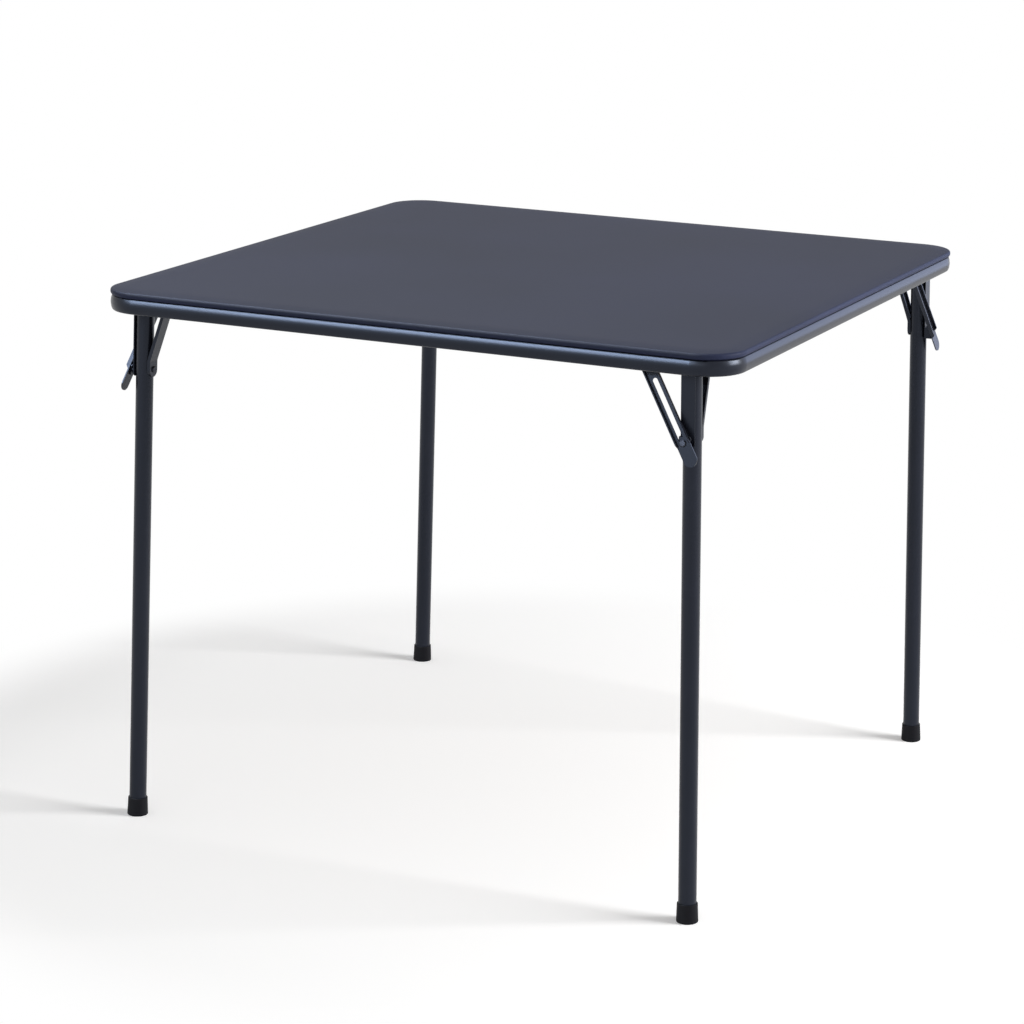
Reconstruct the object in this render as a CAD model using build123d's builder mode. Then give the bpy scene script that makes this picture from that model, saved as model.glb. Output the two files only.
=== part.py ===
# Folding card table: a padded square top on a tubular steel apron, with four round legs.
# Each leg turns on a rod under its corner, is braced by a bent channel strut, and is held
# open by a slotted lock bar that swings from the apron. The four corners are alike, each
# turned a quarter turn from the last, so one corner is drawn and copied round the table.
# Millimetres, +Z up, origin on the floor under the middle of the table.

import os
from math import cos, degrees, atan2, radians, sin

from build123d import *

os.makedirs("parts", exist_ok=True)

# Whole table
table_side = 864.0
table_height = 711.0
corner_radius = 52.0
overrun = 4.0
half_side = table_side / 2

# Padded top panel
cover_thickness = 0.8
pad_thickness = 1.4
board_thickness = 5.0
cover_lip = 16.0
top_edge_round = 2.8
under_edge_round = 2.2
panel_thickness = board_thickness + pad_thickness + 2 * cover_thickness
underside_z = table_height - panel_thickness
board_z = underside_z + cover_thickness
pad_z = board_z + board_thickness

# Apron frame, one bent and welded D-shaped tube
rail_depth = 17.0
rail_height = 20.0
rail_wall = 1.2
rail_bulge = 2.6
rail_outer_round = 3.2
rail_inner_round = 1.8
rail_z = underside_z - rail_height
rail_mid_z = rail_z + rail_height / 2

# Leg: a straight round tube, splayed a little both ways
leg_radius = 11.3
leg_wall = 1.0
leg_top_reach = 9.0
pivot_inset_side = 37.5
pivot_inset_end = 61.5
foot_inset_side = 24.0
foot_inset_end = 43.5
pivot_below_panel = 16.5
pivot_z = underside_z - pivot_below_panel

# Fold: the rod droops inward, so that the leg folds clear of the next corner
rod_droop = 10.0
fold_limit = 93.0

# Foot cap, a moulded cup
cap_height = 24.0
cap_top_radius = 12.8
cap_base_radius = 13.8
cap_floor = 4.0
cap_top_round = 0.6
cap_base_round = 2.0
cap_base_trim = 0.6
cap_clearance = 0.1

# Pressed sheet and rivets
sheet = 1.5
running_clearance = 0.1
seat_clearance = 0.05
rod_radius = 3.0
rod_head_radius = 5.0
rod_head_height = 1.5
rivet_radius = 2.5
rivet_head_radius = 4.0
rivet_head_height = 2.0
head_bevel = 0.8

# Lock bar: a slotted channel that hangs beside the apron and holds the leg open. Its inner face
# lies outside the pivot, and its pivot and stud are placed along and across from the leg's
bar_width = 17.5
bar_depth = 5.5
stud_outside_pivot = 22.522
bar_pivot_run = 58.5
bar_pivot_rise = 5.4
bar_tab_reach = 21.5
slot_width = 6.6
slot_start = 30.0
flange_past_stud = 5.0
flange_end_slope = 6.0
stud_run = 1.0
stud_drop = 90.0
stud_radius = 3.0
stud_head_radius = 4.2
stud_head_height = 2.2
lock_gap = 0.5

# Bar hanger: a hooked strip, welded to the apron, that carries the bar's rivet
hanger_width = 16.0
hanger_rim_gap = 0.6
hanger_foot_drop = 14.0
hanger_top_rise = 7.5
hanger_tail = 7.0
hanger_bend_radius = 2.0

# Lock arm: a pressed strap on the outer side of the leg, turned out and back beside the stud
arm_low_side = 8.0
arm_high_side = 10.0
arm_top_reach = 9.0
arm_corner = 6.0
ear_height = 15.0
ear_past_stud = 5.5
ear_corner = 3.0
arm_bend_radius = 1.2
leg_rivet_above_stud = 6.0
leg_rivet_drop = stud_drop - leg_rivet_above_stud

# Strut: a channel from the lower end of the arm up to the far end of the pivot rod
strut_width = 18.0
strut_depth = 4.5
strut_seat_gap = 0.3
strut_foot_past_rivet = 10.0
strut_foot_drop = leg_rivet_drop + strut_foot_past_rivet
strut_foot_length = 21.0
strut_reach = 32.0
strut_tab_drop = 10.0
strut_tab_reach = 9.0
strut_bend_radius = 6.0

# Corner bracket: a gusset plate under the board with two down-turned ears for the rod
bracket_side_gap = 0.8
bracket_reach_past_pivot = 23.0
bracket_ear_width = 20.0
bracket_ear_below_pivot = 8.0
bracket_lip_height = 12.0

# Panel screws, four in each bracket
screw_radius = 1.75
screw_head_radius = 3.5
screw_head_height = 2.0
screw_length = 6.0
screw_hole_clearance = 0.25
lip_screw_side = 27.0
lip_screw_end = 78.5
outer_screw_side = 38.0
outer_screw_end = 36.0
inner_screw_side = 64.0
inner_screw_end = 30.0
rear_screw_side = 66.0
rear_screw_end = 78.5

# Four corners, a quarter turn apart
corners = ("front_left", "front_right", "back_right", "back_left")
quarter_turn = 90.0


def at_corner(a, b, z):
    """A point of the front left corner: a inward from its side edge, b inward from its end."""
    return Vector(a - half_side, b - half_side, z)


def hand_in(piece, name):
    piece.label = name
    export_step(piece, f"parts/{name}.step")


def hand_in_at_corners(piece, name):
    for index, corner in enumerate(corners):
        hand_in(piece.rotate(Axis.Z, quarter_turn * index), f"{corner}_{name}")


# Places of the screws: each is given inward from the side edge and from the end
plate_z = board_z - sheet
screw_places = (
    (lip_screw_side, lip_screw_end),
    (outer_screw_side, outer_screw_end),
    (inner_screw_side, inner_screw_end),
    (rear_screw_side, rear_screw_end),
)
screw_points = [
    at_corner(a, b, 0).rotate(Axis.Z, quarter_turn * index)
    for index in range(len(corners))
    for a, b in screw_places
]

# Frames of the corner
pivot = at_corner(pivot_inset_side, pivot_inset_end, pivot_z)
foot = at_corner(foot_inset_side, foot_inset_end, 0)
rod_run = cos(radians(rod_droop))
rod_fall = sin(radians(rod_droop))
bar_outside_pivot = (stud_outside_pivot - stud_drop * rod_fall) / rod_run
rod_along = Vector(1, 0, 0).rotate(Axis.Y, rod_droop)
rod_up = Vector(0, 0, 1).rotate(Axis.Y, rod_droop)
rod_axis = Axis(pivot, rod_along)
rod_frame = Plane(origin=pivot, x_dir=rod_along, z_dir=rod_up)
leg_frame = Plane(origin=pivot, x_dir=rod_along, z_dir=(pivot - foot).normalized())
leg_length = (pivot - foot).length
ear_face = lock_gap - bar_outside_pivot
bar_pivot = rod_frame.from_local_coords((-bar_outside_pivot, bar_pivot_run, bar_pivot_rise))
bar_end = rod_frame.from_local_coords((-bar_outside_pivot, stud_run, -stud_drop))
stud_reach = (bar_end - bar_pivot).length
bar_plane = Plane(origin=bar_pivot, x_dir=(bar_end - bar_pivot).normalized(), z_dir=-rod_along)


def on_rod(plane):
    """A plane given in the rod's frame: X inward along the rod, Y the way the leg folds, Z up."""
    return Plane(rod_frame.location * plane.location)


def on_leg(plane):
    """A plane given in the leg's own frame: X inward, Y the way the leg folds, Z up the leg."""
    return Plane(leg_frame.location * plane.location)


def leg_place(x, y, z):
    """A point of the rod's frame, as the leg's own frame has it."""
    return leg_frame.to_local_coords(rod_frame.from_local_coords((x, y, z)))


def rod_place(x, y, z):
    """A point of the leg's frame, as the rod's frame has it."""
    return rod_frame.to_local_coords(leg_frame.from_local_coords((x, y, z)))


# Panel core: what the cover is stretched over
with BuildPart() as panel_core:
    with BuildSketch(Plane.XY.offset(board_z)):
        core_side = table_side - 2 * cover_thickness
        RectangleRounded(core_side, core_side, corner_radius - cover_thickness)
    extrude(amount=board_thickness + pad_thickness)
    fillet(panel_core.edges().group_by(Axis.Z)[-1], top_edge_round - cover_thickness)
    fillet(panel_core.edges().group_by(Axis.Z)[0], under_edge_round - cover_thickness)

# Top board, stiff fibreboard, with blind holes for the panel screws
with BuildPart() as top_board:
    add(panel_core.part)
    split(bisect_by=Plane.XY.offset(pad_z), keep=Keep.BOTTOM)
    with BuildSketch(Plane.XY.offset(board_z)):
        with Locations(screw_points):
            Circle(screw_radius + seat_clearance)
    extrude(amount=screw_length - sheet + seat_clearance, mode=Mode.SUBTRACT)
hand_in(top_board.part, "top_board")

# Foam pad on the board
with BuildPart() as foam_pad:
    add(panel_core.part)
    split(bisect_by=Plane.XY.offset(pad_z), keep=Keep.TOP)
hand_in(foam_pad.part, "foam_pad")

# Vinyl cover, stretched over pad and board and turned under the edge
with BuildPart() as vinyl_cover:
    with BuildSketch(Plane.XY.offset(underside_z)):
        RectangleRounded(table_side, table_side, corner_radius)
    extrude(amount=panel_thickness)
    fillet(vinyl_cover.edges().group_by(Axis.Z)[-1], top_edge_round)
    fillet(vinyl_cover.edges().group_by(Axis.Z)[0], under_edge_round)
    add(panel_core.part, mode=Mode.SUBTRACT)
    with BuildSketch(Plane.XY.offset(underside_z - overrun)):
        open_side = table_side - 2 * cover_lip
        RectangleRounded(open_side, open_side, corner_radius - cover_lip)
    extrude(amount=overrun + cover_thickness, mode=Mode.SUBTRACT)
hand_in(vinyl_cover.part, "vinyl_cover")


def rail_section(inset):
    """The D-shaped section of the rail, set in by a wall, drawn with X inward and Y up."""
    low = inset - rail_height / 2
    high = rail_height / 2 - inset
    with BuildSketch(Plane.XY) as section:
        with BuildLine():
            Line((rail_bulge + inset, high), (rail_depth - inset, high))
            Line((rail_depth - inset, high), (rail_depth - inset, low))
            Line((rail_depth - inset, low), (rail_bulge + inset, low))
            ThreePointArc((rail_bulge + inset, low), (inset, 0), (rail_bulge + inset, high))
        make_face()
        fillet(section.vertices().group_by(Axis.X)[0], rail_outer_round - inset)
        fillet(section.vertices().group_by(Axis.X)[-1], rail_inner_round - inset)
    return section.sketch


# One side of the apron, with the bend at its right end
rail_straight = half_side - corner_radius
with BuildPart() as rail_side:
    for section_x in (-rail_straight, rail_straight):
        with BuildSketch(Plane(origin=(section_x, -half_side, rail_mid_z), x_dir=(0, 1, 0), z_dir=(1, 0, 0))):
            add(rail_section(0))
            add(rail_section(rail_wall), mode=Mode.SUBTRACT)
        if section_x < 0:
            extrude(amount=2 * rail_straight)
        else:
            bend_axis = Axis((rail_straight, -rail_straight, 0), (0, 0, 1))
            revolve(axis=bend_axis, revolution_arc=quarter_turn)

# Apron frame
with BuildPart() as apron_frame:
    for index in range(len(corners)):
        add(rail_side.part.rotate(Axis.Z, quarter_turn * index))
hand_in(apron_frame.part, "apron_frame")

# Leg tube
with BuildPart() as leg_tube:
    with BuildSketch(on_leg(Plane.XY.offset(cap_floor - leg_length))):
        Circle(leg_radius)
        Circle(leg_radius - leg_wall, mode=Mode.SUBTRACT)
    extrude(amount=leg_length - cap_floor + leg_top_reach)
    with BuildSketch(on_rod(Plane.YZ)):
        Circle(rod_radius + running_clearance)
    extrude(amount=leg_radius + overrun, both=True, mode=Mode.SUBTRACT)
    with BuildSketch(on_leg(Plane.YZ)):
        with Locations((0, -leg_rivet_drop)):
            Circle(rivet_radius + seat_clearance)
    extrude(amount=leg_radius + overrun, both=True, mode=Mode.SUBTRACT)
hand_in_at_corners(leg_tube.part, "leg_tube")

# Foot cap, turned about the leg and flat on the floor
with BuildPart() as foot_cap:
    with BuildSketch(on_leg(Plane.XZ)):
        with BuildSketch(Plane.XY, mode=Mode.PRIVATE) as cap_half:
            with BuildLine():
                Polyline(
                    (0, -leg_length - cap_base_trim),
                    (cap_base_radius, -leg_length - cap_base_trim),
                    (cap_top_radius, cap_height - leg_length),
                    (leg_radius + cap_clearance, cap_height - leg_length),
                    (leg_radius + cap_clearance, cap_floor - leg_length),
                    (0, cap_floor - leg_length),
                    close=True,
                )
            make_face()
            fillet(cap_half.vertices().group_by(Axis.X)[-1], cap_base_round)
            fillet(cap_half.vertices().group_by(Axis.Y)[-1], cap_top_round)
        add(cap_half.sketch)
    revolve(axis=Axis(pivot, leg_frame.z_dir))
    split(bisect_by=Plane.XY, keep=Keep.TOP)
hand_in_at_corners(foot_cap.part, "foot_cap")

# Lock arm
ear_top = leg_place(ear_face, 0, ear_height / 2 - stud_drop)
ear_foot = leg_place(ear_face, 0, -ear_height / 2 - stud_drop)
with BuildPart() as lock_arm:
    with BuildSketch(on_leg(Plane.YZ.offset(-leg_radius - sheet))) as strap:
        with BuildLine():
            Polyline(
                (-arm_low_side, arm_top_reach),
                (-arm_low_side, ear_foot.Z),
                (arm_high_side, ear_foot.Z),
                (arm_high_side, arm_top_reach),
                close=True,
            )
        make_face()
        fillet(strap.vertices().group_by(Axis.Y)[-1], arm_corner)
        fillet(strap.vertices().group_by(Axis.X)[0].sort_by(Axis.Y)[0], arm_corner)
        with Locations((0, -leg_rivet_drop)):
            Circle(rivet_radius + seat_clearance, mode=Mode.SUBTRACT)
    extrude(amount=sheet)
    with BuildSketch(on_leg(Plane.XZ.offset(-arm_high_side))):
        with BuildLine():
            Polyline(
                (-leg_radius, ear_top.Z),
                (ear_top.X, ear_top.Z),
                (ear_foot.X, ear_foot.Z),
                (-leg_radius, ear_foot.Z),
                close=True,
            )
        make_face()
    extrude(amount=sheet)
    with BuildSketch(on_rod(Plane.YZ.offset(ear_face))) as ear:
        high_corner = rod_place(ear_top.X, arm_high_side, ear_top.Z)
        low_corner = rod_place(ear_foot.X, arm_high_side, ear_foot.Z)
        with BuildLine():
            Polyline(
                (high_corner.Y, high_corner.Z),
                (stud_run - ear_past_stud, high_corner.Z),
                (stud_run - ear_past_stud, low_corner.Z),
                (low_corner.Y, low_corner.Z),
                close=True,
            )
        make_face()
        fillet(ear.vertices().group_by(Axis.X)[0], ear_corner)
        with Locations((stud_run, -stud_drop)):
            Circle(stud_radius + seat_clearance, mode=Mode.SUBTRACT)
    extrude(amount=sheet)
    ear_middle = (ear_top + ear_foot) / 2
    for bend_x in (-leg_radius, ear_middle.X):
        bend_point = leg_frame.from_local_coords((bend_x, arm_high_side, ear_middle.Z))
        fillet(lock_arm.edges().sort_by_distance(bend_point)[0], arm_bend_radius)
    with BuildSketch(on_rod(Plane.YZ)):
        Circle(rod_radius + running_clearance)
    extrude(amount=-leg_radius - sheet - overrun, mode=Mode.SUBTRACT)
hand_in_at_corners(lock_arm.part, "lock_arm")

# Lock stud, the near half of the rivet that runs in the slot
with BuildPart() as lock_stud:
    with BuildSketch(on_rod(Plane.YZ.offset(ear_face))):
        with Locations((stud_run, -stud_drop)):
            Circle(stud_radius)
    extrude(amount=sheet)
    with BuildSketch(on_rod(Plane.YZ.offset(ear_face + sheet))):
        with Locations((stud_run, -stud_drop)):
            Circle(stud_head_radius)
    extrude(amount=stud_head_height)
    chamfer(lock_stud.edges().sort_by(rod_axis)[-1], head_bevel)
hand_in_at_corners(lock_stud.part, "lock_stud")

# Strut
strut_seat = leg_radius + strut_seat_gap
strut_bend_z = strut_foot_length - strut_foot_drop
tab_foot = leg_place(strut_reach + sheet, 0, -strut_tab_drop)
tab_top = leg_place(strut_reach + sheet, 0, strut_tab_reach)


def strut_face(thickness):
    """The strut seen from the side, a bent band drawn with X inward and Y up the leg."""
    with BuildSketch(Plane.XY) as band:
        with BuildLine():
            FilletPolyline(
                (strut_seat + sheet, -strut_foot_drop),
                (strut_seat + sheet, strut_bend_z),
                (tab_foot.X, tab_foot.Z),
                (tab_top.X, tab_top.Z),
                radius=strut_bend_radius,
            )
            offset(amount=thickness, side=Side.LEFT)
        make_face()
    return band.sketch


with BuildPart() as strut:
    with BuildSketch(on_leg(Plane.XZ)):
        add(strut_face(sheet))
    extrude(amount=strut_width / 2, both=True)
    for edge_y in (-strut_width / 2, strut_width / 2 - sheet):
        with BuildSketch(on_leg(Plane.XZ.offset(-edge_y))):
            add(strut_face(strut_depth))
        extrude(amount=-sheet)
    with BuildSketch(on_leg(Plane.YZ)):
        strut_length = strut_foot_drop + tab_top.Z
        with Locations((0, tab_top.Z - strut_length / 2)):
            SlotOverall(strut_length, strut_width, rotation=90)
    extrude(amount=tab_top.X + overrun, mode=Mode.INTERSECT)
    with BuildSketch(on_rod(Plane.YZ)):
        Circle(rod_radius + running_clearance)
    extrude(amount=strut_reach + overrun, mode=Mode.SUBTRACT)
    with BuildSketch(on_leg(Plane.YZ)):
        with Locations((0, -leg_rivet_drop)):
            Circle(rivet_radius + seat_clearance)
    extrude(amount=strut_seat + sheet + overrun, mode=Mode.SUBTRACT)
hand_in_at_corners(strut.part, "strut")

# Leg rivet, through arm, tube and strut
with BuildPart() as leg_rivet:
    with BuildSketch(on_leg(Plane.YZ.offset(-leg_radius - sheet))):
        with Locations((0, -leg_rivet_drop)):
            Circle(rivet_radius)
    extrude(amount=leg_radius + strut_seat + 2 * sheet)
    with BuildSketch(on_leg(Plane.YZ.offset(-leg_radius - sheet - rivet_head_height))):
        with Locations((0, -leg_rivet_drop)):
            Circle(rivet_head_radius)
    extrude(amount=rivet_head_height)
    with BuildSketch(on_leg(Plane.YZ.offset(strut_seat + sheet))):
        with Locations((0, -leg_rivet_drop)):
            Circle(rivet_head_radius)
    extrude(amount=rivet_head_height)
    chamfer(leg_rivet.edges().sort_by(rod_axis)[0], head_bevel)
    chamfer(leg_rivet.edges().sort_by(rod_axis)[-1], head_bevel)
hand_in_at_corners(leg_rivet.part, "leg_rivet")

# Lock bar
bar_length = stud_reach + bar_tab_reach
flange_end = stud_reach + flange_past_stud
with BuildPart() as lock_bar:
    with BuildSketch(bar_plane):
        with Locations((bar_length / 2, 0)):
            SlotCenterToCenter(bar_length, bar_width)
        with Locations(((slot_start + stud_reach) / 2, 0)):
            SlotCenterToCenter(stud_reach - slot_start, slot_width, mode=Mode.SUBTRACT)
        Circle(rivet_radius + running_clearance, mode=Mode.SUBTRACT)
    extrude(amount=sheet)
    for edge_y in (-bar_width / 2, bar_width / 2 - sheet):
        with BuildSketch(Plane(origin=bar_plane.from_local_coords((0, edge_y, 0)), x_dir=bar_plane.x_dir,
                               z_dir=bar_plane.y_dir)):
            with BuildLine():
                Polyline(
                    (0, 0),
                    (flange_end, 0),
                    (flange_end - flange_end_slope, -bar_depth),
                    (0, -bar_depth),
                    close=True,
                )
            make_face()
        extrude(amount=sheet)
hand_in_at_corners(lock_bar.part, "lock_bar")

# Slot rivet, the far half of the stud: its head rides on the bar at the end of the slot
with BuildPart() as slot_rivet:
    with BuildSketch(bar_plane):
        with Locations((stud_reach, 0)):
            Circle(stud_radius)
    extrude(amount=sheet)
    with BuildSketch(bar_plane.offset(sheet)):
        with Locations((stud_reach, 0)):
            Circle(stud_head_radius)
    extrude(amount=stud_head_height)
    chamfer(slot_rivet.edges().sort_by(rod_axis)[0], head_bevel)
hand_in_at_corners(slot_rivet.part, "slot_rivet")

# Bar hanger: up the inner wall of the apron, over, and down beside the rims of the bar
hanger_x = -bar_outside_pivot - bar_depth - hanger_rim_gap
hanger_low = rod_frame.from_local_coords((hanger_x, bar_pivot_run, bar_pivot_rise - hanger_tail))
hanger_high = rod_frame.from_local_coords((hanger_x, bar_pivot_run, bar_pivot_rise + hanger_top_rise))
with BuildPart() as bar_hanger:
    with BuildSketch(Plane.XZ.offset(-bar_pivot.Y)):
        with BuildLine():
            FilletPolyline(
                (hanger_low.X, hanger_low.Z),
                (hanger_high.X, hanger_high.Z),
                (rail_depth - half_side, hanger_high.Z),
                (rail_depth - half_side, hanger_high.Z - hanger_foot_drop),
                radius=hanger_bend_radius,
            )
            offset(amount=sheet, side=Side.LEFT)
        make_face()
    extrude(amount=hanger_width / 2, both=True)
    with BuildSketch(on_rod(Plane.YZ.offset(hanger_x))):
        with Locations((bar_pivot_run, bar_pivot_rise)):
            Circle(rivet_radius + seat_clearance)
    extrude(amount=-sheet, mode=Mode.SUBTRACT)
hand_in_at_corners(bar_hanger.part, "bar_hanger")

# Bar rivet: a shouldered rivet, fixed in the hanger, on which the bar turns
bar_rivet_plane = Plane(origin=bar_pivot, x_dir=rod_frame.y_dir, z_dir=rod_along)
with BuildPart() as bar_rivet:
    with BuildSketch(bar_rivet_plane.offset(hanger_x - sheet + bar_outside_pivot - rivet_head_height)):
        Circle(rivet_head_radius)
    extrude(amount=rivet_head_height)
    with BuildSketch(bar_rivet_plane.offset(hanger_x - sheet + bar_outside_pivot)):
        Circle(rivet_radius)
    extrude(amount=sheet)
    with BuildSketch(bar_rivet_plane.offset(hanger_x + bar_outside_pivot)):
        Circle(rivet_head_radius)
    extrude(amount=bar_depth + hanger_rim_gap - sheet - running_clearance)
    with BuildSketch(bar_rivet_plane.offset(-sheet - running_clearance)):
        Circle(rivet_radius)
    extrude(amount=sheet + 2 * running_clearance)
    with BuildSketch(bar_rivet_plane.offset(running_clearance)):
        Circle(stud_head_radius)
    extrude(amount=rivet_head_height)
    chamfer(bar_rivet.edges().sort_by(rod_axis)[-1], head_bevel)
hand_in_at_corners(bar_rivet.part, "bar_rivet")

# Corner bracket
arm_top = rod_place(-leg_radius - sheet, 0, arm_top_reach)
outer_ear_x = arm_top.X - bracket_side_gap - sheet
inner_ear_x = strut_reach + sheet + bracket_side_gap
droop_turn = radians(rod_droop)
plate_reach = (inner_ear_x + sheet + (board_z - pivot_z) * sin(droop_turn)) / cos(droop_turn)
plate_end_a = pivot_inset_side + plate_reach
bracket_end_b = pivot_inset_end + bracket_reach_past_pivot
with BuildPart() as bracket_ears:
    for ear_x in (outer_ear_x, inner_ear_x):
        ear_top_z = (board_z - pivot_z + ear_x * sin(droop_turn)) / cos(droop_turn) + overrun
        with BuildSketch(on_rod(Plane.YZ.offset(ear_x))):
            with BuildLine():
                Polyline(
                    (-bracket_ear_width / 2, ear_top_z),
                    (-bracket_ear_width / 2, 0),
                    (-bracket_ear_below_pivot, -bracket_ear_below_pivot),
                    (bracket_ear_below_pivot, -bracket_ear_below_pivot),
                    (bracket_ear_width / 2, 0),
                    (bracket_ear_width / 2, ear_top_z),
                    close=True,
                )
            make_face()
            Circle(rod_radius + seat_clearance, mode=Mode.SUBTRACT)
        extrude(amount=sheet)
    split(bisect_by=Plane.XY.offset(board_z), keep=Keep.BOTTOM)
with BuildPart() as corner_bracket:
    with BuildSketch(Plane.XY.offset(plate_z)):
        with BuildLine():
            Polyline(
                at_corner(rail_depth, corner_radius, 0),
                at_corner(corner_radius, rail_depth, 0),
                at_corner(plate_end_a, rail_depth, 0),
                at_corner(plate_end_a, bracket_end_b, 0),
                at_corner(rail_depth, bracket_end_b, 0),
                close=True,
            )
        make_face()
    extrude(amount=sheet)
    add(bracket_ears.part)
    lip_middle = (corner_radius + bracket_end_b) / 2
    with BuildSketch(Plane.XY.offset(plate_z)):
        with Locations(at_corner(rail_depth + sheet / 2, lip_middle, 0)):
            Rectangle(sheet, bracket_end_b - corner_radius)
        with Locations(at_corner((corner_radius + plate_end_a) / 2, rail_depth + sheet / 2, 0)):
            Rectangle(plate_end_a - corner_radius, sheet)
    extrude(amount=-bracket_lip_height)
    with BuildSketch(Plane.XY.offset(plate_z)):
        with Locations([at_corner(a, b, 0) for a, b in screw_places]):
            Circle(screw_radius + screw_hole_clearance)
    extrude(amount=sheet, mode=Mode.SUBTRACT)
hand_in_at_corners(corner_bracket.part, "corner_bracket")

# Pivot rod, peened over outside both ears
rod_length = inner_ear_x + sheet - outer_ear_x
with BuildPart() as pivot_rod:
    with BuildSketch(on_rod(Plane.YZ.offset(outer_ear_x))):
        Circle(rod_radius)
    extrude(amount=rod_length)
    with BuildSketch(on_rod(Plane.YZ.offset(outer_ear_x - rod_head_height))):
        Circle(rod_head_radius)
    extrude(amount=rod_head_height)
    with BuildSketch(on_rod(Plane.YZ.offset(outer_ear_x + rod_length))):
        Circle(rod_head_radius)
    extrude(amount=rod_head_height)
    chamfer(pivot_rod.edges().sort_by(rod_axis)[0], head_bevel)
    chamfer(pivot_rod.edges().sort_by(rod_axis)[-1], head_bevel)
hand_in_at_corners(pivot_rod.part, "pivot_rod")

# Panel screws, up through the brackets into the board: one group for the whole table
with BuildPart() as panel_screws:
    with BuildSketch(Plane.XY.offset(plate_z - screw_head_height)):
        with Locations(screw_points):
            Circle(screw_head_radius)
    extrude(amount=screw_head_height)
    chamfer(panel_screws.edges().group_by(Axis.Z)[0], head_bevel)
    with BuildSketch(Plane.XY.offset(plate_z)):
        with Locations(screw_points):
            Circle(screw_radius)
    extrude(amount=screw_length)
hand_in(panel_screws.part, "panel_screws")

# What the joints need: how far the bar turns while the leg folds
fold_turn = radians(fold_limit)
folded_run = stud_run * cos(fold_turn) + stud_drop * sin(fold_turn)
folded_drop = stud_drop * cos(fold_turn) - stud_run * sin(fold_turn)
open_angle = degrees(atan2(stud_run - bar_pivot_run, stud_drop + bar_pivot_rise))
folded_angle = degrees(atan2(folded_run - bar_pivot_run, folded_drop + bar_pivot_rise))
bar_turn = folded_angle - open_angle
print(f"leg folds {fold_limit:.2f} deg, bar turns {bar_turn:.2f} deg, ratio {bar_turn / fold_limit:.4f}")
for name, place in (("pivot", pivot), ("bar pivot", bar_pivot), ("rod along", rod_along), ("foot", foot)):
    print(f"{name} {place.X:.4f} {place.Y:.4f} {place.Z:.4f}")
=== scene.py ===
# A folding card table with its legs open: a padded square top on a tubular steel apron.
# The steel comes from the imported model. The padded top is modelled here, every surface gets
# its finish here, and the table stands in a plain pale studio. Metres, +Z up.

import math

import bpy
from mathutils import Matrix, Vector


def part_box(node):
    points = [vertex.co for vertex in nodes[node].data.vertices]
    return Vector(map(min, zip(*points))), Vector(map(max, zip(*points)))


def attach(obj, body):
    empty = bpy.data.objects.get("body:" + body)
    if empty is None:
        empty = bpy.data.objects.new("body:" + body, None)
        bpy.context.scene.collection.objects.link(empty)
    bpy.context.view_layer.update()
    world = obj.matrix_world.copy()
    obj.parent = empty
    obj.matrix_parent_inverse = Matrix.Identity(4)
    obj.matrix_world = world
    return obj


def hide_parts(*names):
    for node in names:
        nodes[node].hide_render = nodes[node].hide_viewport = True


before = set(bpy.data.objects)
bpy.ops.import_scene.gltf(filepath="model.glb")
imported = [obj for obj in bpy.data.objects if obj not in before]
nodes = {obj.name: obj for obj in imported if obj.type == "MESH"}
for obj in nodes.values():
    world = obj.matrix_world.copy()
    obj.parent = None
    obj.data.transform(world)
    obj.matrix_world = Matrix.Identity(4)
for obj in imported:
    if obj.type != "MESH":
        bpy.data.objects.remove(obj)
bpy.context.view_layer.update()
millimetre = 0.001
corners = ("front_left", "front_right", "back_right", "back_left")


# Top board. A square of 5 mm hardboard under the padding, screwed to the corner brackets.
# Its smooth face is up. The back shows from below, and keeps the print of the wire screen
# that the board was pressed on.
def linear(hex_colour):
    """An sRGB hex colour as linear red, green and blue, with full alpha."""
    channels = [int(hex_colour[start : start + 2], 16) / 255 for start in (1, 3, 5)]
    return [c / 12.92 if c <= 0.04045 else ((c + 0.055) / 1.055) ** 2.4 for c in channels] + [1.0]


def add_node(material, kind, values=None, links=None, **settings):
    """Adds a node with its settings, the values of its inputs and the links into them."""
    node = material.node_tree.nodes.new(kind)
    for setting, value in settings.items():
        setattr(node, setting, value)
    for socket, value in (values or {}).items():
        node.inputs[socket].default_value = value
    for socket, source in (links or {}).items():
        material.node_tree.links.new(source, node.inputs[socket])
    return node


def new_material(name):
    """A material with no nodes yet but its output."""
    material = bpy.data.materials.new(name)
    material.use_nodes = True
    material.node_tree.nodes.clear()
    material.node_tree.nodes.new("ShaderNodeOutputMaterial")
    return material


def close_material(material, shader):
    """Links the last shader to the material's output."""
    output = material.node_tree.nodes["Material Output"]
    material.node_tree.links.new(shader.outputs[0], output.inputs["Surface"])


def two_tones(material, pattern, dark, light, blend):
    """A colour that goes from dark to light as the pattern crosses the two ends of the blend."""
    ramp = add_node(material, "ShaderNodeValToRGB", links={"Fac": pattern.outputs["Fac"]})
    for element, position, tone in zip(ramp.color_ramp.elements, blend, (dark, light)):
        element.position = position
        element.color = linear(tone)
    return ramp.outputs["Color"]


def paint(obj, material):
    """Gives the whole object one material."""
    obj.data.materials.clear()
    obj.data.materials.append(material)


board_light = "#6f5338"
board_dark = "#553d28"
board_blend = (0.35, 0.65)
board_ior = 1.5
board_roughness = 0.72
screen_spacing = 3 * millimetre
screen_depth = 0.25 * millimetre
fibre_size = 14 * millimetre

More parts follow.
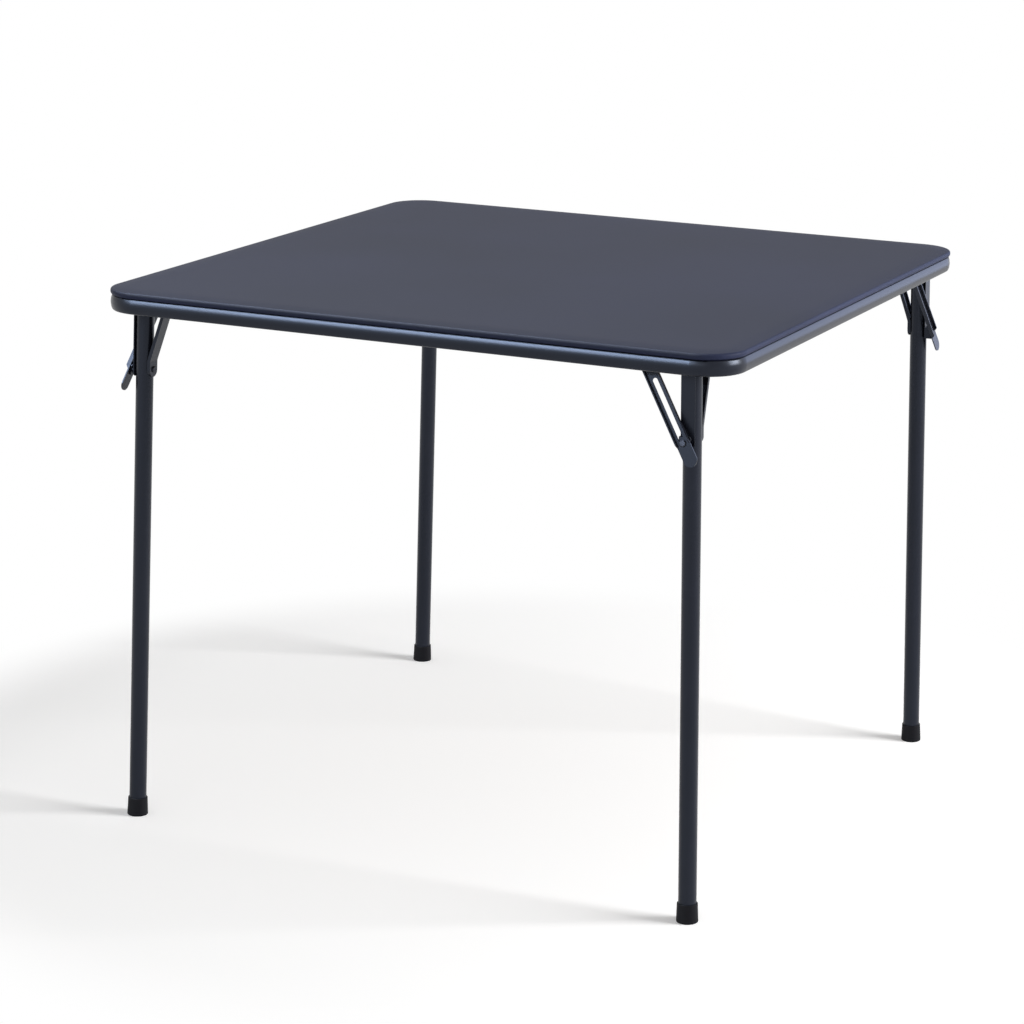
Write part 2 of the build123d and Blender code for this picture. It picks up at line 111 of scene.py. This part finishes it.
hardboard = new_material("hardboard_screen_back")
place = add_node(hardboard, "ShaderNodeTexCoord").outputs["Object"]
fibres = add_node(hardboard, "ShaderNodeTexNoise",
                  {"Scale": 1 / fibre_size, "Detail": 7.0, "Roughness": 0.7}, {"Vector": place})
browns = two_tones(hardboard, fibres, board_dark, board_light, board_blend)
wires = [
    add_node(hardboard, "ShaderNodeTexWave",
             {"Scale": 1 / screen_spacing / math.tau, "Distortion": 0.4},
             {"Vector": place}, bands_direction=direction).outputs["Fac"]
    for direction in ("X", "Y")
]
screen = add_node(hardboard, "ShaderNodeMath", operation="MULTIPLY", links={
    0: wires[0], 1: wires[1]})
print_of_screen = add_node(hardboard, "ShaderNodeBump", {"Distance": screen_depth, "Strength": 1.0},
                           {"Height": screen.outputs[0]})
close_material(hardboard, add_node(
    hardboard, "ShaderNodeBsdfPrincipled", {"IOR": board_ior, "Roughness": board_roughness},
    {"Base Color": browns, "Normal": print_of_screen.outputs["Normal"]}))
paint(nodes["top_board"], hardboard)


# Foam pad. A thin sheet of foam the size of the board, squeezed between it and the cover.
# It is hidden, and gives the top its slight give.
def rounded_square(name, side, corner, z):
    """A flat face with round corners at height z, in edit mode and selected."""
    bpy.ops.object.select_all(action="DESELECT")
    bpy.ops.mesh.primitive_plane_add(size=side, location=(0, 0, z))
    bpy.context.object.name = name
    bpy.ops.object.transform_apply(location=True)
    bpy.ops.object.mode_set(mode="EDIT")
    bpy.ops.mesh.select_mode(type="VERT")
    bpy.ops.mesh.select_all(action="SELECT")
    bpy.ops.mesh.bevel(offset=corner, segments=corner_segments, affect="VERTICES")
    bpy.ops.mesh.select_mode(type="FACE")
    bpy.ops.mesh.select_all(action="SELECT")
    return bpy.context.object


def step_in(steps):
    """Insets the selected face again and again, each step so far inward and so far along it."""
    for inward, along in steps:
        bpy.ops.mesh.inset(thickness=inward, depth=along, use_boundary=True)


def quarter_round(radius, segments, turn):
    """Steps inward and up that round an edge: from upright to flat, in so many segments."""
    angles = [turn * index / segments for index in range(segments + 1)]
    return [
        (radius * (math.cos(low) - math.cos(high)), radius * (math.sin(high) - math.sin(low)))
        for low, high in zip(angles, angles[1:])
    ]


foam_colour = "#b9b5a6"
foam_roughness = 0.95
foam_ior = 1.45
foam_cell = 1.2 * millimetre
corner_segments = 24
pad_low, pad_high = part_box("foam_pad")
pad_side = pad_high.x - pad_low.x
corner_radius = 52 * millimetre
pad_gap = 0.05 * millimetre
pad_edge = 0.5 * millimetre
pad_edge_segments = 3

foam_pad = rounded_square("foam_pad_sheet", pad_side, corner_radius, pad_low.z + pad_gap)
bpy.ops.mesh.extrude_region_move(
    TRANSFORM_OT_translate={"value": (0, 0, pad_high.z - pad_low.z - 2 * pad_gap - pad_edge)})
step_in(quarter_round(pad_edge, pad_edge_segments, math.pi / 2))
bpy.ops.object.mode_set(mode="OBJECT")

foam = new_material("polyurethane_sheet_foam")
place = add_node(foam, "ShaderNodeTexCoord").outputs["Object"]
cells = add_node(foam, "ShaderNodeTexVoronoi", {"Scale": 1 / foam_cell}, {"Vector": place})
pores = add_node(foam, "ShaderNodeBump", {"Distance": foam_cell / 2, "Strength": 0.6},
                 {"Height": cells.outputs["Distance"]})
close_material(foam, add_node(
    foam, "ShaderNodeBsdfPrincipled",
    {"Base Color": linear(foam_colour), "Roughness": foam_roughness, "IOR": foam_ior},
    {"Normal": pores.outputs["Normal"]}))
paint(foam_pad, foam)
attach(foam_pad, "table")
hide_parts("foam_pad")


# Vinyl cover. One sheet of upholstery vinyl, stretched over foam and board, turned under the
# edge and held there by the apron. The pad gives it soft edges and a field that is a little
# crowned; the skin is embossed with a fine grain and has a satin sheen.
cover_low, cover_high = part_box("vinyl_cover")
cover_side = cover_high.x - cover_low.x
cover_thickness = 0.8 * millimetre
top_round = 3.2 * millimetre
under_round = 3.6 * millimetre
hem_width = 16 * millimetre
crown_rise = 1.3 * millimetre
crown_reach = 24 * millimetre
crown_steps = 6
round_segments = 6
weld_distance = 0.01 * millimetre
smooth_angle = math.radians(40)

upper_z = cover_high.z - top_round
cover = rounded_square("vinyl_cover_sheet", cover_side, corner_radius, upper_z)
step_in(quarter_round(top_round, round_segments, math.pi / 2))
crown_shares = [math.sin(math.pi / 2 * index / crown_steps) for index in range(crown_steps + 1)]
step_in([(crown_reach / crown_steps, crown_rise * (high - low))
         for low, high in zip(crown_shares, crown_shares[1:])])
bpy.ops.object.mode_set(mode="OBJECT")

cover_under = rounded_square("cover_under", cover_side, corner_radius, cover_low.z + under_round)
bpy.ops.mesh.flip_normals()
step_in(quarter_round(under_round, round_segments, math.pi / 2))
step_in([(hem_width - under_round, 0)])
bpy.ops.mesh.delete(type="FACE")
bpy.ops.object.mode_set(mode="OBJECT")

bpy.ops.object.select_all(action="DESELECT")
cover_under.select_set(True)
cover.select_set(True)
bpy.context.view_layer.objects.active = cover
bpy.ops.object.join()
bpy.ops.object.mode_set(mode="EDIT")
bpy.ops.mesh.select_mode(type="EDGE")
bpy.ops.mesh.select_all(action="DESELECT")
bpy.ops.object.mode_set(mode="OBJECT")
for edge in cover.data.edges:
    heights = [cover.data.vertices[index].co.z for index in edge.vertices]
    from_rims = [min(abs(z - upper_z), abs(z - cover_low.z - under_round)) for z in heights]
    level = abs(heights[0] - heights[1]) < pad_gap
    edge.select = max(from_rims) < pad_gap and level
bpy.ops.object.mode_set(mode="EDIT")
bpy.ops.mesh.bridge_edge_loops()
bpy.ops.mesh.select_all(action="SELECT")
bpy.ops.mesh.remove_doubles(threshold=weld_distance)
bpy.ops.mesh.normals_make_consistent(inside=False)
bpy.ops.object.mode_set(mode="OBJECT")
skin = cover.modifiers.new("skin", "SOLIDIFY")
skin.thickness = cover_thickness - pad_gap
skin.offset = -1
bpy.ops.object.modifier_apply(modifier="skin")
bpy.ops.object.shade_smooth_by_angle(angle=smooth_angle)

vinyl_colour = "#282d45"
vinyl_shade = "#23283d"
vinyl_blend = (0.3, 0.7)
vinyl_ior = 1.52
vinyl_gloss = 0.08
vinyl_roughness = 0.5
grain_size = 1.6 * millimetre
crease_size = grain_size / 3
grain_depth = 0.05 * millimetre
tone_size = 260 * millimetre

vinyl = new_material("embossed_upholstery_vinyl")
place = add_node(vinyl, "ShaderNodeTexCoord").outputs["Object"]
pebbles = add_node(vinyl, "ShaderNodeTexVoronoi", {"Scale": 1 / grain_size, "Randomness": 1.0},
                   {"Vector": place}, feature="SMOOTH_F1")
creases = add_node(vinyl, "ShaderNodeTexNoise", {"Scale": 1 / crease_size, "Detail": 3.0},
                   {"Vector": place})
grain_height = add_node(vinyl, "ShaderNodeMath", operation="ADD", links={
    0: pebbles.outputs["Distance"], 1: creases.outputs["Fac"]})
grain = add_node(vinyl, "ShaderNodeBump", {"Distance": grain_depth, "Strength": 0.8},
                 {"Height": grain_height.outputs[0]})
tones = add_node(vinyl, "ShaderNodeTexNoise", {"Scale": 1 / tone_size, "Detail": 2.0},
                 {"Vector": place})
shades = two_tones(vinyl, tones, vinyl_shade, vinyl_colour, vinyl_blend)
close_material(vinyl, add_node(
    vinyl, "ShaderNodeBsdfPrincipled",
    {"IOR": vinyl_ior, "Roughness": vinyl_roughness, "Specular IOR Level": vinyl_gloss},
    {"Base Color": shades, "Normal": grain.outputs["Normal"]}))
paint(cover, vinyl)
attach(cover, "table")
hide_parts("vinyl_cover")


# Apron frame. One D-shaped steel tube, bent at the corners and welded into a square, then
# stoved in a charcoal enamel. The enamel has a satin gloss and a faint orange peel.
enamel_colour = "#16171f"
enamel_shade = "#12131a"
enamel_blend = (0.3, 0.7)
enamel_ior = 1.5
enamel_gloss = 0.33
enamel_tint = "#d9e6ff"
enamel_roughness = 0.3
peel_size = 2.2 * millimetre
peel_depth = 0.02 * millimetre
enamel_tone_size = 65 * millimetre

enamel = new_material("stoved_charcoal_enamel")
place = add_node(enamel, "ShaderNodeTexCoord").outputs["Object"]
peel = add_node(enamel, "ShaderNodeTexNoise", {"Scale": 1 / peel_size, "Detail": 2.0},
                {"Vector": place})
surface = add_node(enamel, "ShaderNodeBump", {"Distance": peel_depth, "Strength": 0.6},
                   {"Height": peel.outputs["Fac"]})
tones = add_node(enamel, "ShaderNodeTexNoise", {"Scale": 1 / enamel_tone_size, "Detail": 4.0},
                 {"Vector": place})
shades = two_tones(enamel, tones, enamel_shade, enamel_colour, enamel_blend)
close_material(enamel, add_node(
    enamel, "ShaderNodeBsdfPrincipled",
    {"IOR": enamel_ior, "Roughness": enamel_roughness, "Specular IOR Level": enamel_gloss,
     "Specular Tint": linear(enamel_tint)},
    {"Base Color": shades, "Normal": surface.outputs["Normal"]}))
paint(nodes["apron_frame"], enamel)


# Corner brackets, bar hangers, leg tubes, lock arms, struts and lock bars. Pressed sheet steel
# and drawn tube, stoved in the same enamel as the apron before the table is riveted together.
for corner in corners:
    for piece in ("corner_bracket", "bar_hanger", "leg_tube", "lock_arm", "strut", "lock_bar"):
        paint(nodes[f"{corner}_{piece}"], enamel)


# Rods, rivets and studs. Plain steel, blackened, and rubbed a little brighter where the
# heads were closed.
rivet_colour = "#2b2d33"
rivet_rubbed = "#3b3e46"
rivet_blend = (0.4, 0.7)
rivet_metallic = 0.9
rivet_roughness = 0.42
rub_size = 3 * millimetre

blackened = new_material("blackened_steel")
place = add_node(blackened, "ShaderNodeTexCoord").outputs["Object"]
rub = add_node(blackened, "ShaderNodeTexNoise", {"Scale": 1 / rub_size, "Detail": 4.0},
               {"Vector": place})
dents = add_node(blackened, "ShaderNodeBump", {"Distance": peel_depth, "Strength": 0.5},
                 {"Height": rub.outputs["Fac"]})
worn = two_tones(blackened, rub, rivet_colour, rivet_rubbed, rivet_blend)
close_material(blackened, add_node(
    blackened, "ShaderNodeBsdfPrincipled",
    {"Metallic": rivet_metallic, "Roughness": rivet_roughness},
    {"Base Color": worn, "Normal": dents.outputs["Normal"]}))
for corner in corners:
    for piece in ("pivot_rod", "bar_rivet", "leg_rivet", "lock_stud", "slot_rivet"):
        paint(nodes[f"{corner}_{piece}"], blackened)


# Panel screws. Sheet-metal screws with a dull zinc plating, driven up through the corner
# brackets into the board.
zinc_colour = "#8d9096"
zinc_shade = "#6f7278"
zinc_blend = (0.35, 0.65)
zinc_roughness = 0.45
spangle_size = 2 * millimetre

zinc = new_material("zinc_plated_steel")
place = add_node(zinc, "ShaderNodeTexCoord").outputs["Object"]
spangle = add_node(zinc, "ShaderNodeTexNoise", {"Scale": 1 / spangle_size, "Detail": 3.0},
                   {"Vector": place})
greys = two_tones(zinc, spangle, zinc_shade, zinc_colour, zinc_blend)
close_material(zinc, add_node(
    zinc, "ShaderNodeBsdfPrincipled", {"Metallic": 1.0, "Roughness": zinc_roughness},
    {"Base Color": greys}))
paint(nodes["panel_screws"], zinc)


# Foot caps. Cups of black polyethylene, moulded with a fine matt grain and pushed on the
# ends of the legs.
cap_colour = "#08080d"
cap_scuff = "#0e0e15"
cap_blend = (0.35, 0.75)
cap_roughness = 0.55
cap_ior = 1.51
cap_gloss = 0.12
cap_grain = 0.9 * millimetre

polyethylene = new_material("moulded_black_polyethylene")
place = add_node(polyethylene, "ShaderNodeTexCoord").outputs["Object"]
spark = add_node(polyethylene, "ShaderNodeTexNoise", {"Scale": 1 / cap_grain, "Detail": 3.0},
                 {"Vector": place})
matt = add_node(polyethylene, "ShaderNodeBump", {"Distance": peel_depth, "Strength": 0.8},
                {"Height": spark.outputs["Fac"]})
scuffs = two_tones(polyethylene, spark, cap_colour, cap_scuff, cap_blend)
close_material(polyethylene, add_node(
    polyethylene, "ShaderNodeBsdfPrincipled",
    {"Roughness": cap_roughness, "IOR": cap_ior, "Specular IOR Level": cap_gloss},
    {"Base Color": scuffs, "Normal": matt.outputs["Normal"]}))
for corner in corners:
    paint(nodes[f"{corner}_foot_cap"], polyethylene)


# Studio. A white floor that runs far back, a white surround, and large soft lamps: one from
# the right that throws the faint shadows to the left, a weak one in front, and three that only
# draw the long highlights on the rails and the edge of the top.
floor_colour = "#f7f7f7"
floor_size = 80.0
shaded_reach = 0.78
white_reach = 1.0
floor_lift = 0.24
surround_light = 0.45


def direct_sight(owner):
    """1 for rays from the camera, off gloss and through glass, 0 for the light on matt paint."""
    ray = add_node(owner, "ShaderNodeLightPath")
    camera_or_gloss = add_node(owner, "ShaderNodeMath", operation="MAXIMUM", links={
        0: ray.outputs["Is Camera Ray"], 1: ray.outputs["Is Glossy Ray"]})
    or_glass = add_node(owner, "ShaderNodeMath", operation="MAXIMUM", links={
        0: camera_or_gloss.outputs[0], 1: ray.outputs["Is Transmission Ray"]})
    return or_glass.outputs[0]


bpy.ops.object.select_all(action="DESELECT")
bpy.ops.mesh.primitive_plane_add(size=floor_size)
floor = bpy.context.object
floor.name = "studio_floor"
white_floor = new_material("white_floor")
place = add_node(white_floor, "ShaderNodeTexCoord").outputs["Object"]
from_middle = add_node(white_floor, "ShaderNodeVectorMath", links={0: place}, operation="LENGTH")
far_off = add_node(white_floor, "ShaderNodeMapRange",
                   {"From Min": shaded_reach, "From Max": white_reach},
                   {"Value": from_middle.outputs["Value"]}, interpolation_type="SMOOTHSTEP")
seen = direct_sight(white_floor)
lift = add_node(white_floor, "ShaderNodeMath", {1: floor_lift}, {0: seen}, operation="MULTIPLY")
far_white = add_node(white_floor, "ShaderNodeMath", operation="MULTIPLY", links={
    0: seen, 1: far_off.outputs["Result"]})
paper = add_node(white_floor, "ShaderNodeBsdfDiffuse", {"Color": linear(floor_colour)})
glow = add_node(white_floor, "ShaderNodeEmission", links={"Strength": lift.outputs[0]})
near_floor = add_node(white_floor, "ShaderNodeAddShader", links={
    0: paper.outputs[0], 1: glow.outputs[0]})
backdrop = add_node(white_floor, "ShaderNodeEmission", {"Strength": 1.0})
upper_side = add_node(white_floor, "ShaderNodeMixShader", links={
    0: far_white.outputs[0], 1: near_floor.outputs[0], 2: backdrop.outputs[0]})
lower_side = add_node(white_floor, "ShaderNodeBsdfTransparent")
facing = add_node(white_floor, "ShaderNodeNewGeometry")
close_material(white_floor, add_node(white_floor, "ShaderNodeMixShader", links={
    0: facing.outputs["Backfacing"], 1: upper_side.outputs[0], 2: lower_side.outputs[0]}))
paint(floor, white_floor)

scene = bpy.context.scene
surround = bpy.data.worlds.new("white_surround")
scene.world = surround
surround.use_nodes = True
surround.node_tree.nodes.clear()
lit = add_node(surround, "ShaderNodeBackground", {"Strength": surround_light})
white = add_node(surround, "ShaderNodeBackground", {"Strength": 1.0})
choice = add_node(surround, "ShaderNodeMixShader", links={
    0: direct_sight(surround), 1: lit.outputs[0], 2: white.outputs[0]})
add_node(surround, "ShaderNodeOutputWorld", links={"Surface": choice.outputs[0]})


def softbox(name, place, target, width, height, power):
    """A large flat lamp that faces its target."""
    bpy.ops.object.light_add(type="AREA", location=place)
    lamp = bpy.context.object
    lamp.name = name
    lamp.data.shape = "RECTANGLE"
    lamp.data.size = width
    lamp.data.size_y = height
    lamp.data.energy = power
    lamp.rotation_euler = (Vector(target) - Vector(place)).to_track_quat("-Z", "Y").to_euler()
    return lamp


table_middle = (0, 0, 0.6)
cool_white = (0.75, 0.85, 1.0)
cool_blue = (0.5, 0.62, 1.0)
softbox("lamp_right", (4.6, 0.95, 2.1), (0, 0, 0), 2.2, 2.2, 315)
softbox("lamp_front", (0.4, -4.4, 1.8), table_middle, 3.0, 1.0, 15)
for sheen, colour in (
    (softbox("sheen_front", (-1.35, -2.7, 2.0), table_middle, 2.0, 1.0, 190), cool_white),
    (softbox("sheen_overhead", (-1.0, -0.5, 2.7), table_middle, 1.8, 2.2, 260), cool_white),
    (softbox("sheen_behind", (1.6, 2.8, 1.2), table_middle, 1.6, 2.0, 18), cool_blue),
):
    sheen.data.color = colour
    sheen.visible_diffuse = False

# The camera stands where the photograph was taken from. Its lens is in millimetres, for a
# frame as wide as a 35 mm film's.
frame_width = 36.0
far_clip = 200.0
camera_place = (1.75057, -3.82602, 1.46113)
camera_yaw = 0.43929
camera_pitch = 0.25268
camera_roll = 0.01419
focal_pixels = 3210.82
photo_pixels = 1024
bpy.ops.object.camera_add(location=camera_place)
camera = bpy.context.object
camera.data.sensor_width = frame_width
camera.data.lens = focal_pixels / photo_pixels * frame_width
camera.data.clip_end = far_clip
camera.matrix_world = (
    Matrix.Translation(camera_place)
    @ Matrix.Rotation(camera_yaw, 4, "Z")
    @ Matrix.Rotation(math.pi / 2 - camera_pitch, 4, "X")
    @ Matrix.Rotation(camera_roll, 4, "Z")
)
scene.camera = camera
scene.view_settings.view_transform = "Standard"
